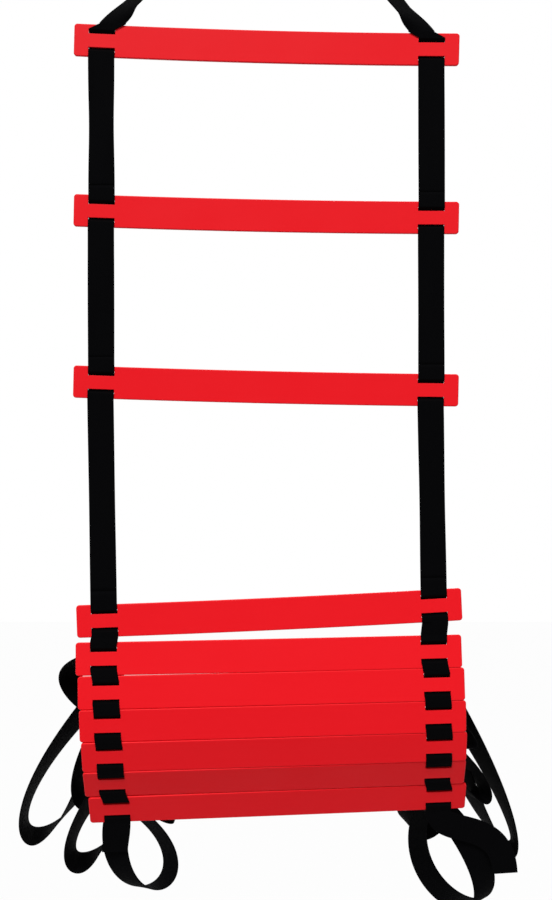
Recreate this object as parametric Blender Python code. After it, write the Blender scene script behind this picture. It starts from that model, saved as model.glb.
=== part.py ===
"""Hanging agility ladder: ten flat rungs threaded on two webbing rails.

Units are metres, +Z is up and the ladder faces -Y. The origin is the inside of the ring's top,
where a hook carries it. Rungs 1 to 4 are spread out, and rungs 5 to 10 are slid together into a
stack, with the webbing that they gave up hanging behind them in loops.
"""

import math

import bmesh
import bpy
from mathutils import Matrix, Vector

# Rung: a flat moulded slat with a pair of slots near each end
RUNG_LENGTH = 0.430
RUNG_HEIGHT = 0.035
RUNG_THICKNESS = 0.004
RUNG_CORNER_RADIUS = 0.0035
RUNG_EDGE_BEVEL = 0.0008
RUNG_SAG = 0.0024
SLOT_HEIGHT = 0.005
SLOT_END_RADIUS = 0.0008
SLOT_SIDE_CLEARANCE = 0.0004
BRIDGE_HEIGHT = 0.015
CUT_OVERRUN = 0.001

# Webbing rails, each in slots this far from the end of its rung
WEB_WIDTH = 0.0295
WEB_THICKNESS = 0.0014
WEB_GAP = 0.0003
SLOT_TO_RUNG_END = 0.01585
RAIL_SPACING = RUNG_LENGTH - WEB_WIDTH - 2 * (SLOT_SIDE_CLEARANCE + SLOT_TO_RUNG_END)

# Folds between a rung and the webbing next to it, and the cut where a rung slides on its webbing
EDGE_TO_FOLD = 0.0012
STACKED_EDGE_TO_FOLD = 0.0009
FOLD_TO_WEB_END = 0.0011
SLOT_TO_SPLIT = 0.0015

# How the ladder hangs, one figure for each rung from the top
HANG_TO_RUNG = 0.2718
BAY_LENGTH = 0.1544
BAY_SHARES = (0.982, 1.0, 1.397, 0.062)
CENTRE_SHARES = (-0.019, -0.020, -0.021, -0.011, -0.012, -0.005, -0.001, 0.003, 0.004, 0.012)
SAG_SHARES = (1.0, 0.75, 0.6, 0.6, 0.15, 0.12, 0.12, 0.12, 0.12, 0.12)
ROLL_DEGREES = (1.48, 1.155, 1.32, -2.45, -1.0, -1.1, -1.15, -1.25, -1.4, -1.55)
TILT_DEGREES = (0.0, 0.0, 0.0, -2.0, -6.0, -4.0, 4.0, 16.0, 30.0, 25.0)
YAW_DEGREES = (0.0, 0.0, 0.0, 1.2, 1.4, 1.6, 1.8, 2.0, 2.2, 2.4)
FIRST_STACKED = 5

# Slack: a loop is one smooth curve whose two low control points lie this far from the rung's
# middle, to the right, to the back and down, as shares of the webbing gathered in one loop
SLACK = 0.340
SLACK_LEAD_SHARE = 0.08
RETURN_DEGREES = 60.0
SLACK_SHARES = {
    "left": (
        ((-0.704, 0.661, 0.062), (0.486, 0.16, 0.565)),
        ((-0.86, 0.436, 0.745), (-0.202, 0.857, 1.121)),
        ((-0.435, 0.39, 0.523), (0.115, 0.33, 0.452)),
        ((0.124, 0.642, 0.582), (0.509, 0.154, 0.233)),
        ((-0.606, 0.427, 0.676), (0.153, 0.388, 0.464)),
        ((0.601, 0.404, 0.38), (-0.186, -0.101, 0.566)),
    ),
    "right": (
        ((-0.547, 0.597, 0.325), (0.381, 0.136, 0.48)),
        ((0.668, 0.504, 0.863), (0.398, 0.811, 1.259)),
        ((0.242, 0.123, 0.148), (0.132, 0.056, 0.194)),
        ((0.437, 0.31, 0.29), (0.136, 0.269, 0.4)),
        ((0.305, 0.499, 0.481), (-0.388, 0.304, 0.409)),
        ((-0.435, 0.512, 0.571), (0.725, -0.146, 0.729)),
    ),
}
TAIL_SHARES = {
    "left": ((0.0, 0.0, 0.04), (-0.01, 0.01, 0.07), (-0.01, 0.01, 0.10)),
    "right": ((0.0, 0.0, 0.10), (0.22, 0.02, 0.02), (0.23, 0.02, 0.22)),
}

# Head: the two rails lean together and are sewn into a tab that hangs on a steel ring
RING_WIRE = 0.004
RING_INNER_HEIGHT = 0.024
RING_CORNER_RADIUS = 0.004
RING_SIDE_CLEARANCE = 0.0015
TAB_LENGTH = 0.044
TAB_THROAT_SHARE = 0.25
HANG_TO_APEX = 0.058
HEAD_SHIFT = 0.012
HEAD_FLAT = 0.016
HEAD_TWIST_DEGREES = 49.0
HEAD_TURN_SHARE = 0.12

# How finely curves are cut into flats
BEND_STEPS = 3
LOOP_STEPS = 22
TAIL_STEPS = 8
HEAD_STEPS = 14
SAG_STEPS = 10
CORNER_STEPS = 3
END_STEPS = 2
RING_STEPS = 14
RING_SIDES_RESOLUTION = 2

SIDES = {"left": -1, "right": 1}
RUNGS = range(1, len(ROLL_DEGREES) + 1)
WEB_FRONT = -(RUNG_THICKNESS / 2 + WEB_GAP + WEB_THICKNESS / 2)
BEND_RADIUS = WEB_GAP + WEB_THICKNESS / 2
MARGIN_EDGE = BRIDGE_HEIGHT / 2 + SLOT_HEIGHT
SPLIT_HEIGHT = MARGIN_EDGE + SLOT_TO_SPLIT
TAB_LAYER = WEB_THICKNESS / 2 + WEB_GAP / 2


def make_material(name, colour, roughness, metallic=0.0):
    made = bpy.data.materials.new(name)
    made.use_nodes = True
    shader = made.node_tree.nodes["Principled BSDF"]
    shader.inputs["Base Color"].default_value = (*colour, 1.0)
    shader.inputs["Roughness"].default_value = roughness
    shader.inputs["Metallic"].default_value = metallic
    return made


# Where things hang


def fold_height(rung):
    """How far a rung's folds lie above and below its middle."""
    gap = STACKED_EDGE_TO_FOLD if rung >= FIRST_STACKED else EDGE_TO_FOLD
    return RUNG_HEIGHT / 2 + gap


def sag(rung, x):
    """How far a rung has bent down in its own plane, as a parabola with its ends at zero."""
    return -RUNG_SAG * SAG_SHARES[rung - 1] * (1 - (2 * x / RUNG_LENGTH) ** 2)


def rung_turn(rung):
    """A rung's turn from square: about Z, then about Y, then about its own length."""
    yaw = Matrix.Rotation(math.radians(YAW_DEGREES[rung - 1]), 4, "Z")
    roll = Matrix.Rotation(math.radians(ROLL_DEGREES[rung - 1]), 4, "Y")
    tilt = Matrix.Rotation(math.radians(TILT_DEGREES[rung - 1]), 4, "X")
    return yaw @ roll @ tilt


def hang_rungs():
    """Each rung's matrix. A rung's upper fold hangs one bay below the fold of the rung above."""
    placed = {}
    fold = None
    for rung in RUNGS:
        turn = rung_turn(rung)
        rise = turn @ Vector((0, WEB_FRONT, fold_height(rung)))
        if fold is None:
            fold = Vector((0, 0, rise.z - HANG_TO_RUNG))
        centre = fold - rise
        centre.x = CENTRE_SHARES[rung - 1] * RUNG_LENGTH
        placed[rung] = Matrix.Translation(centre) @ turn
        fold = placed[rung] @ Vector((0, WEB_FRONT, -fold_height(rung)))
        if rung < FIRST_STACKED:
            fold.z -= BAY_SHARES[rung - 1] * BAY_LENGTH
    return placed


def seat(placed, rung, point):
    """A point of a rung at rest, from its place on a straight rung."""
    return placed[rung] @ Vector((point.x, point.y, point.z + sag(rung, point.x)))


def fold_point(placed, rung, side, up):
    """Where a rail folds above (up is 1) or below (up is -1) a rung."""
    at = Vector((side * RAIL_SPACING / 2, WEB_FRONT, up * fold_height(rung)))
    return seat(placed, rung, at)


def axis_along(placed, rung):
    """The direction of a rung's length, which its folds share."""
    return (placed[rung].to_3x3() @ Vector((1, 0, 0))).normalized()


# Webbing: sections of four corners, skinned into one closed band


def section(centre, across, normal, share=1.0):
    """Four corners of a band's cut, with its thickness reduced to a share of the whole."""
    wide = across * WEB_WIDTH / 2
    thick = normal * WEB_THICKNESS / 2 * share
    return [centre - wide + thick, centre + wide + thick, centre + wide - thick, centre - wide - thick]


def rounded_end(centre, along, across, normal):
    """Sections that round off a band's end, from the tip inwards. along points out of the band."""
    found = []
    for step in range(END_STEPS, 0, -1):
        angle = math.radians(75) * step / END_STEPS
        out = along * WEB_THICKNESS / 2 * math.sin(angle)
        found.append(section(centre + out, across, normal, math.cos(angle)))
    return found


def turn_between(one, other, axis):
    """The angle from one direction to another, seen along an axis that they may lean towards."""
    flat = [(v - v.dot(axis) * axis).normalized() for v in (one, other)]
    return math.atan2(flat[0].cross(flat[1]).dot(axis), flat[0].dot(flat[1]))


def band(path, across_first, across_last, across_middle=None, twist=0):
    """Sections along a path of (point, tangent), with the width carried along without twist.

    The turn that is then left between its end and across_last is shared out evenly. On top of
    that it turns by twist, or to lie along across_middle whichever way is nearer, most in the
    middle and not at its ends.
    """
    across = across_first
    carried = []
    for _, tangent in path:
        across = (across - across.dot(tangent) * tangent).normalized()
        carried.append(across)
    left_over = turn_between(across, across_last, path[-1][1])
    if across_middle:
        half = len(path) // 2
        twist = turn_between(carried[half], across_middle, path[half][1]) - left_over / 2
        twist = (twist + math.pi / 2) % math.pi - math.pi / 2
    made = []
    for i, (point, tangent) in enumerate(path):
        share = i / (len(path) - 1)
        angle = left_over * share + twist * math.sin(math.pi * share) ** 2
        turned = Matrix.Rotation(angle, 3, tangent) @ carried[i]
        made.append(section(point, turned, tangent.cross(turned)))
    return made


def smooth_curve(controls, steps):
    """(point, tangent) along the Bezier curve of these control points."""
    degree = len(controls) - 1
    found = []
    for step in range(steps + 1):
        t = step / steps
        at = Vector((0, 0, 0))
        for i, control in enumerate(controls):
            at += math.comb(degree, i) * t**i * (1 - t) ** (degree - i) * control
        ahead = Vector((0, 0, 0))
        for i in range(degree):
            weight = math.comb(degree - 1, i) * t**i * (1 - t) ** (degree - 1 - i)
            ahead += weight * (controls[i + 1] - controls[i])
        found.append((at, ahead.normalized()))
    return found


def bend(y, z, first, last, inwards=1):
    """(centre, normal) along a bend round the edge at y, z, between two directions in degrees.

    Directions turn from +Y to +Z. The normal points away from the edge, or to it with inwards -1.
    """
    found = []
    for step in range(BEND_STEPS + 1):
        angle = math.radians(first + (last - first) * step / BEND_STEPS)
        out = Vector((0, math.cos(angle), math.sin(angle)))
        found.append((Vector((0, y, z)) + out * BEND_RADIUS, out * inwards))
    return found


def pass_angle():
    """The slope, in degrees below level, of webbing that runs round both edges of a slot."""
    span = math.hypot(RUNG_THICKNESS, SLOT_HEIGHT)
    steep = math.atan2(SLOT_HEIGHT, RUNG_THICKNESS)
    return math.degrees(steep - math.asin(2 * BEND_RADIUS / span))


def on_rung(placed, rung, side, stations):
    """Sections of a rail at a rung, from (centre, normal) pairs in the rung's own YZ plane."""
    across = Vector((1, 0, 0))
    made = []
    for centre, normal in stations:
        shifted = centre + Vector((side * RAIL_SPACING / 2, 0, 0))
        made.append([seat(placed, rung, p) for p in section(shifted, across, normal)])
    return made


def rounded_on_rung(placed, rung, side, up):
    """The rounded end of the rail's piece at a rung, above or below it, from the tip inwards."""
    z = up * (fold_height(rung) - FOLD_TO_WEB_END)
    centre = Vector((side * RAIL_SPACING / 2, WEB_FRONT, z))
    tips = rounded_end(centre, Vector((0, 0, up)), Vector((1, 0, 0)), Vector((0, -1, 0)))
    return [[seat(placed, rung, p) for p in tip] for tip in tips]


def front_station(z):
    return (Vector((0, WEB_FRONT, z)), Vector((0, -1, 0)))


def threaded_web(placed, rung, side):
    """A rail through one spread rung: over the margin, behind the bridge and over the other margin."""
    half, slope = RUNG_THICKNESS / 2, pass_angle()
    upper = bend(-half, MARGIN_EDGE, 180, 270 - slope)
    upper += bend(half, BRIDGE_HEIGHT / 2, 90 - slope, 0, -1)
    lower = [(Vector((0, c.y, -c.z)), Vector((0, n.y, -n.z))) for c, n in reversed(upper)]
    end = fold_height(rung) - FOLD_TO_WEB_END
    stations = [front_station(end), *upper, *lower, front_station(-end)]
    tips = rounded_on_rung(placed, rung, side, 1)
    ends = rounded_on_rung(placed, rung, side, -1)
    made = tips + on_rung(placed, rung, side, stations) + ends[::-1]
    if rung == RUNGS[0]:
        inwards = axis_along(placed, rung) * -side * HEAD_SHIFT
        for i in range(len(tips) + 1):
            made[i] = [corner + inwards for corner in made[i]]
    return made


def slack_loop(placed, rung, side, name, start, end):
    """Sections of a slack loop between its passes through the two slots, from behind the rung.

    start and end are (centre, direction in degrees from +Y to +Z) in the rung's own YZ plane. At its
    foot the band lies along the axis that it turns back round.
    """
    slot = seat(placed, rung, Vector((side * RAIL_SPACING / 2, 0, 0)))
    turn = placed[rung].to_3x3()
    ends = []
    for (centre, _), heading in (start, end):
        angle = math.radians(heading)
        ahead = turn @ Vector((0, math.cos(angle), math.sin(angle)))
        at = seat(placed, rung, centre + Vector((side * RAIL_SPACING / 2, 0, 0)))
        ends.append((at, ahead * SLACK_LEAD_SHARE * SLACK))
    (first, leave), (last, arrive) = ends
    low = [slot + SLACK * Vector((r, b, -d)) for r, b, d in SLACK_SHARES[name][rung - FIRST_STACKED]]
    path = smooth_curve([first, first + leave, *low, last - arrive, last], LOOP_STEPS)
    across, half = axis_along(placed, rung), LOOP_STEPS // 2
    return band(path, across, across, path[half - 1][1].cross(path[half + 1][1]))


def looped_web(placed, rung, side, name):
    """A rail at a stacked rung: in at the upper slot, a loop of slack, and out at the lower slot."""
    half, slope = RUNG_THICKNESS / 2, pass_angle()
    upper = [front_station(SPLIT_HEIGHT - WEB_GAP), *bend(-half, MARGIN_EDGE, 180, 270 - slope)]
    upper.append(bend(half, BRIDGE_HEIGHT / 2, 90 - slope, 0, -1)[0])
    lower = [*bend(half, -MARGIN_EDGE, RETURN_DEGREES, 90), *bend(-half, -MARGIN_EDGE, 90, 180)]
    start, end = (upper[-1], -slope), (lower[0], 90 + RETURN_DEGREES)
    loop = slack_loop(placed, rung, side, name, start, end)
    made = on_rung(placed, rung, side, upper) + loop[1:-1] + on_rung(placed, rung, side, lower)
    if rung < RUNGS[-1]:
        foot = front_station(FOLD_TO_WEB_END - fold_height(rung))
        made += on_rung(placed, rung, side, [foot])
        return made + rounded_on_rung(placed, rung, side, -1)[::-1]
    edge = Vector((side * RAIL_SPACING / 2, WEB_FRONT, -RUNG_HEIGHT / 2))
    start = seat(placed, rung, edge)
    low = [start + SLACK * Vector((r, b, -d)) for r, b, d in TAIL_SHARES[name]]
    across = axis_along(placed, rung)
    return made + band(smooth_curve([start, *low], TAIL_STEPS), across, across)


def bay_web(placed, rung, side):
    """A rail's stretch between a spread rung and the next one."""
    top, foot = fold_point(placed, rung, side, -1), fold_point(placed, rung + 1, side, 1)
    above, below = axis_along(placed, rung), axis_along(placed, rung + 1)
    lean = foot - top
    down = (lean - lean.dot(above) * above).normalized()
    first = top + down * FOLD_TO_WEB_END
    facing = down.cross(above)
    made = rounded_end(first, -down, above, facing) + [section(first, above, facing)]
    if rung + 1 < FIRST_STACKED:
        last = foot - down * FOLD_TO_WEB_END
        facing = down.cross(below)
        return made + [section(last, below, facing)] + rounded_end(last, down, below, facing)[::-1]
    stations = [front_station(fold_height(rung + 1)), front_station(SPLIT_HEIGHT)]
    return made + on_rung(placed, rung + 1, side, stations)


def link_web(placed, rung, side):
    """The short piece of a rail that crosses from one stacked rung to the next."""
    end = fold_height(rung + 1) - FOLD_TO_WEB_END
    tips = rounded_on_rung(placed, rung + 1, side, 1)
    return tips + on_rung(placed, rung + 1, side, [front_station(end), front_station(SPLIT_HEIGHT)])


def head_web(placed, side):
    """A rail from the top rung to the tab: straight, and turned on edge just above the rung."""
    up, across = placed[RUNGS[0]].to_3x3() @ Vector((0, 0, 1)), axis_along(placed, RUNGS[0])
    fold = fold_point(placed, RUNGS[0], side, 1)
    first = fold + up * FOLD_TO_WEB_END - across * side * HEAD_SHIFT
    apex = Vector((0, side * TAB_LAYER, -HANG_TO_APEX))
    lean = (apex - first).normalized()
    flat = Vector((0, 1, 0)).cross(lean).normalized()
    made = rounded_end(first, -up, across, up.cross(across))
    for step in range(HEAD_STEPS + 1):
        share = step / HEAD_STEPS
        twist = side * math.radians(HEAD_TWIST_DEGREES) * math.cos(math.pi / 2 * share) ** 2
        turned = Matrix.Rotation(twist, 3, lean) @ flat
        wide = across.lerp(turned, min(1, share / HEAD_TURN_SHARE)).normalized()
        point = first.lerp(apex - lean * HEAD_FLAT, share)
        made.append(section(point, wide, lean.cross(wide).normalized()))
    return made + [[corner + lean * HEAD_FLAT for corner in made[-1]]]


def tab_web():
    """A band folded over the ring's bar, whose legs close on the ends of both rails."""
    bar = -(RING_INNER_HEIGHT + RING_WIRE / 2)
    radius = RING_WIRE / 2 + WEB_GAP + BEND_RADIUS
    leg = TAB_LAYER + WEB_THICKNESS + WEB_GAP
    throat = bar - TAB_LENGTH * TAB_THROAT_SHARE
    up = Vector((0, 0, 1))
    path = [(Vector((0, leg, bar - TAB_LENGTH)), up), (Vector((0, leg, throat)), up)]
    for step in range(2 * BEND_STEPS + 1):
        angle = math.pi * step / (2 * BEND_STEPS)
        out = Vector((0, math.cos(angle), math.sin(angle)))
        path.append((Vector((0, 0, bar)) + radius * out, Vector((0, -out.z, out.y))))
    path += [(Vector((0, -leg, throat)), -up), (Vector((0, -leg, bar - TAB_LENGTH)), -up)]
    across = Vector((1, 0, 0))
    return band(path, across, across)


def skin(name, sections, shade):
    """One closed band from its sections, in world space.

    Front and back are split along the same diagonals, so that a band that twists keeps its thickness.
    """
    mesh = bpy.data.meshes.new(name)
    work = bmesh.new()
    rings = [[work.verts.new(corner) for corner in corners] for corners in sections]
    for ring, after in zip(rings, rings[1:]):
        for i in range(len(ring)):
            j = (i + 1) % len(ring)
            a, b, c, d = ring[i], ring[j], after[j], after[i]
            halves = ((a, b, c), (a, c, d)) if i < len(ring) // 2 else ((a, b, d), (b, c, d))
            for half in halves:
                work.faces.new(half)
    work.faces.new(rings[0][::-1])
    work.faces.new(rings[-1])
    bmesh.ops.recalc_face_normals(work, faces=work.faces)
    work.to_mesh(mesh)
    work.free()
    mesh.shade_smooth()
    mesh.set_sharp_from_angle(angle=math.radians(40))
    mesh.materials.append(shade)
    return mesh


# Rungs


def rounded_slab(length, height, thickness, radius):
    """A slab centred on the origin, with its four upright corners rounded."""
    work = bmesh.new()
    outline = []
    for corner in range(4):
        right = 1 if corner in (0, 3) else -1
        upper = 1 if corner in (0, 1) else -1
        for step in range(CORNER_STEPS + 1):
            angle = math.pi / 2 * (corner + step / CORNER_STEPS)
            x = right * (length / 2 - radius) + radius * math.cos(angle)
            z = upper * (height / 2 - radius) + radius * math.sin(angle)
            outline.append(work.verts.new((x, -thickness / 2, z)))
    face = work.faces.new(outline)
    grown = bmesh.ops.extrude_face_region(work, geom=[face])
    moved = [v for v in grown["geom"] if isinstance(v, bmesh.types.BMVert)]
    bmesh.ops.translate(work, verts=moved, vec=(0, thickness, 0))
    bmesh.ops.recalc_face_normals(work, faces=work.faces)
    return work


def slot_cutter():
    """The four slots as one mesh of four slabs."""
    mesh = bpy.data.meshes.new("slot_cutter")
    slots = bmesh.new()
    length = WEB_WIDTH + 2 * SLOT_SIDE_CLEARANCE
    slab = rounded_slab(length, SLOT_HEIGHT, RUNG_THICKNESS + 2 * CUT_OVERRUN, SLOT_END_RADIUS)
    slab.to_mesh(mesh)
    slab.free()
    for side in SIDES.values():
        for up in (1, -1):
            before = len(slots.verts)
            slots.from_mesh(mesh)
            slots.verts.ensure_lookup_table()
            shift = (side * RAIL_SPACING / 2, 0, up * (BRIDGE_HEIGHT + SLOT_HEIGHT) / 2)
            bmesh.ops.translate(slots, verts=slots.verts[before:], vec=shift)
    slots.to_mesh(mesh)
    slots.free()
    return mesh


def straight_rung():
    """A slat with its long edges bevelled and its slots cut, before it bends."""
    work = rounded_slab(RUNG_LENGTH, RUNG_HEIGHT, RUNG_THICKNESS, RUNG_CORNER_RADIUS)
    rims = [e for e in work.edges if abs(e.verts[0].co.y - e.verts[1].co.y) < RUNG_THICKNESS / 2]
    bmesh.ops.bevel(work, geom=rims, offset=RUNG_EDGE_BEVEL, segments=1, affect="EDGES")
    plate = bpy.data.meshes.new("plate")
    work.to_mesh(plate)
    work.free()
    slab = bpy.data.objects.new("plate", plate)
    cutter = bpy.data.objects.new("slot_cutter", slot_cutter())
    for helper in (slab, cutter):
        bpy.context.scene.collection.objects.link(helper)
    cut = slab.modifiers.new("slots", "BOOLEAN")
    cut.operation = "DIFFERENCE"
    cut.object = cutter
    graph = bpy.context.evaluated_depsgraph_get()
    made = bpy.data.meshes.new_from_object(slab.evaluated_get(graph))
    for helper in (slab, cutter):
        bpy.data.objects.remove(helper)
    return made


def bent_rung(straight, rung, shade):
    """The slat cut across into short stretches, which follow its sag."""
    work = bmesh.new()
    work.from_mesh(straight)
    for step in range(1, SAG_STEPS):
        x = RUNG_LENGTH * (step / SAG_STEPS - 1 / 2)
        parts = [*work.verts, *work.edges, *work.faces]
        bmesh.ops.bisect_plane(work, geom=parts, plane_co=(x, 0, 0), plane_no=(1, 0, 0))
    for vert in work.verts:
        vert.co.z += sag(rung, vert.co.x)
    mesh = bpy.data.meshes.new(f"rung_{rung:02d}")
    work.to_mesh(mesh)
    work.free()
    mesh.shade_smooth()
    mesh.set_sharp_from_angle(angle=math.radians(30))
    mesh.materials.append(shade)
    return mesh


def ring_curve(shade):
    """The ring: a closed wire with a straight bar, two small corners and a half ellipse over them."""
    half = WEB_WIDTH / 2 + RING_SIDE_CLEARANCE + RING_WIRE / 2
    bar = -(RING_INNER_HEIGHT + RING_WIRE / 2)
    middle = bar + RING_CORNER_RADIUS
    rise = RING_WIRE / 2 - middle
    points = []
    for step in range(CORNER_STEPS):
        angle = math.pi / 2 * (step / CORNER_STEPS - 1)
        x = half - RING_CORNER_RADIUS + RING_CORNER_RADIUS * math.cos(angle)
        points.append((x, middle + RING_CORNER_RADIUS * math.sin(angle)))
    for step in range(RING_STEPS + 1):
        angle = math.pi * step / RING_STEPS
        points.append((half * math.cos(angle), middle + rise * math.sin(angle)))
    points += [(-x, z) for x, z in reversed(points[:CORNER_STEPS])]
    curve = bpy.data.curves.new("d_ring", "CURVE")
    curve.dimensions = "3D"
    curve.fill_mode = "FULL"
    curve.bevel_depth = RING_WIRE / 2
    curve.bevel_resolution = RING_SIDES_RESOLUTION
    wire = curve.splines.new("POLY")
    wire.points.add(len(points) - 1)
    for point, (x, z) in zip(wire.points, points):
        point.co = (x, 0, z, 1)
    wire.use_cyclic_u = True
    wire.use_smooth = True
    curve.materials.append(shade)
    return curve


# Assembly


class Chain:
    """Nested empties, one on each joint, that carry the pieces below them."""

    def __init__(self):
        self.empty = None
        self.world = Matrix.Identity(4)

    def joint(self, name, at, axis=None):
        """Adds a joint at a point, with the empty's X along its axis."""
        turn = Vector((1, 0, 0)).rotation_difference(axis).to_matrix().to_4x4() if axis else Matrix()
        world = Matrix.Translation(at) @ turn
        empty = bpy.data.objects.new(name, None)
        empty.empty_display_size = RUNG_HEIGHT / 2
        bpy.context.scene.collection.objects.link(empty)
        empty.parent = self.empty
        empty.matrix_local = self.world.inverted() @ world
        self.empty, self.world = empty, world

    def carry(self, name, data, world=None):
        """Adds a piece that moves with the last joint. Without a matrix, its data is in world space."""
        piece = bpy.data.objects.new(name, data)
        bpy.context.scene.collection.objects.link(piece)
        piece.parent = self.empty
        if world is None:
            data.transform(self.world.inverted())
            world = self.world
        piece.matrix_local = self.world.inverted() @ world


def add_rung(chain, placed, straight, rung, shades):
    red, black = shades
    mesh = bent_rung(straight, rung, red)
    chain.carry(f"rung_{rung:02d}", mesh, placed[rung])
    for name, side in SIDES.items():
        if rung < FIRST_STACKED:
            sections = threaded_web(placed, rung, side)
        else:
            sections = looped_web(placed, rung, side, name)
        node = f"web_{name}_{rung:02d}"
        chain.carry(node, skin(node, sections, black))


def add_rails(chain, name, sections_of, shade):
    for side_name, side in SIDES.items():
        node = name.replace("_", f"_{side_name}_", 1)
        chain.carry(node, skin(node, sections_of(side), shade))


def main():
    for old in list(bpy.data.objects):
        bpy.data.objects.remove(old)
    steel = make_material("steel_wire", (0.62, 0.62, 0.63), 0.28, 1.0)
    black = make_material("black_webbing", (0.004, 0.004, 0.004), 0.9)
    red = make_material("red_polypropylene", (0.85, 0.014, 0.020), 0.42)
    placed = hang_rungs()
    straight = straight_rung()
    chain = Chain()
    chain.carry("d_ring", ring_curve(steel), Matrix())
    bar = Vector((0, 0, -(RING_INNER_HEIGHT + RING_WIRE / 2)))
    chain.joint("head_swing", bar)
    chain.carry("ring_tab", skin("ring_tab", tab_web(), black))
    add_rails(chain, "head_strap", lambda side: head_web(placed, side), black)
    middle = Vector((0, WEB_FRONT, fold_height(RUNGS[0])))
    chain.joint("rung_1_tilt", seat(placed, RUNGS[0], middle), axis_along(placed, RUNGS[0]))
    for rung in RUNGS:
        add_rung(chain, placed, straight, rung, (red, black))
        if rung == RUNGS[-1]:
            break
        low = placed[rung] @ Vector((0, WEB_FRONT, -fold_height(rung)))
        high = placed[rung + 1] @ Vector((0, WEB_FRONT, fold_height(rung + 1)))
        if rung < FIRST_STACKED:
            chain.joint(f"fold_{rung}_top", low, axis_along(placed, rung))
            add_rails(chain, f"bay_{rung:02d}", lambda side: bay_web(placed, rung, side), black)
        else:
            chain.joint(f"fold_{rung}", low, axis_along(placed, rung))
            add_rails(chain, f"link_{rung:02d}", lambda side: link_web(placed, rung, side), black)
        name = f"fold_{rung}_bottom" if rung + 1 < FIRST_STACKED else f"slide_{rung + 1}"
        chain.joint(name, high, axis_along(placed, rung + 1))
    bpy.context.view_layer.update()


main()
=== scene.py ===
"""Agility ladder, hanging and partly gathered: ten moulded red rungs on two black webbing rails.

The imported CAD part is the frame, and every piece here is a surface in metres, worked out with
numpy in the part's own axes: +Z up, seen from -Y, with the origin inside the ring's top.
"""

import math

import bmesh
import bpy
import numpy as np
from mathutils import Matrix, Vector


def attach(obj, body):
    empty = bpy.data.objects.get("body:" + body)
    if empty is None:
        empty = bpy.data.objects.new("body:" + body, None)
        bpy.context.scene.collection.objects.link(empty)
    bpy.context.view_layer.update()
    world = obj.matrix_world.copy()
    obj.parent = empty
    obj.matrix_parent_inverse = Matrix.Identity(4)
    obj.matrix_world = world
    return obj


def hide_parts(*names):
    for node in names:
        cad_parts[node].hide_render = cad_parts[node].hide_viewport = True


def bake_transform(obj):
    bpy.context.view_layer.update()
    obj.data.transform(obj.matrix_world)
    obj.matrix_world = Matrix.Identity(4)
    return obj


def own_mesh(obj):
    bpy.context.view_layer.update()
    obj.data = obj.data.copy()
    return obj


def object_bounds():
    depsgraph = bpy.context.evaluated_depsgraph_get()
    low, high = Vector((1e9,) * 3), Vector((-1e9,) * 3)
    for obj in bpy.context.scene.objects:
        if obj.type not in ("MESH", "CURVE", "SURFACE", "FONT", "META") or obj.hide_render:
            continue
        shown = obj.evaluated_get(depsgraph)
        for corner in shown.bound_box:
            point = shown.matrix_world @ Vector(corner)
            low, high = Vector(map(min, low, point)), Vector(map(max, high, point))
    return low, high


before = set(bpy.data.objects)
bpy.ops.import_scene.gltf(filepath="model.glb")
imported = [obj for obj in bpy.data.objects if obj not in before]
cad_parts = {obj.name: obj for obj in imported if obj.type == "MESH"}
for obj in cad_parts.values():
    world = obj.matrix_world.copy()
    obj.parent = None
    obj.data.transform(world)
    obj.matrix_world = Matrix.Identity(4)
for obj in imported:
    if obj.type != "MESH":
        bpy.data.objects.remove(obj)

bl_info = {
    "name": "Hanging agility ladder",
    "version": (1, 0, 0),
    "blender": (4, 5, 0),
    "location": "View3D > Sidebar > Ladder",
    "description": "Builds a hanging agility ladder piece by piece over its CAD frame",
    "category": "Add Mesh",
}

CAD_BOX = [list(corner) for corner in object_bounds()]

# How the rungs hang: metres, and degrees about the rung's middle, for each rung from the top
HANG_TO_RUNG = 0.2718
BAY_LENGTHS = (0.15162, 0.1544, 0.2156968, 0.0095728)
CENTRES_X = (
    -0.00817, -0.0086, -0.00903, -0.00473, -0.00516, -0.00215, -0.00043, 0.00129, 0.00172, 0.00516
)
SAGS = (0.0024, 0.0018, 0.00144, 0.00144, 0.00036, 0.000288, 0.000288, 0.000288, 0.000288, 0.000288)
ROLLS = (1.48, 1.155, 1.32, -2.45, -1.0, -1.1, -1.15, -1.25, -1.4, -1.55)
TILTS = (0.0, 0.0, 0.0, -2.0, -6.0, -4.0, 4.0, 16.0, 30.0, 25.0)
YAWS = (0.0, 0.0, 0.0, 1.2, 1.4, 1.6, 1.8, 2.0, 2.2, 2.4)
RUNGS = range(10)
FIRST_STACKED = 4
SIDES = {"left": -1, "right": 1}

# Rungs 5 and 6 face the camera almost squarely, so the gaps below them would show widest. Their
# edges stand out further.
FLAT_JOINS = (4, 5)

# Twist of the rails between spread rungs, in degrees, greatest in the middle of each bay
BAY_TWISTS = {"left": (14.0, -6.0, 5.0, 0.0), "right": (5.0, -4.0, -9.0, 0.0)}

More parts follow.
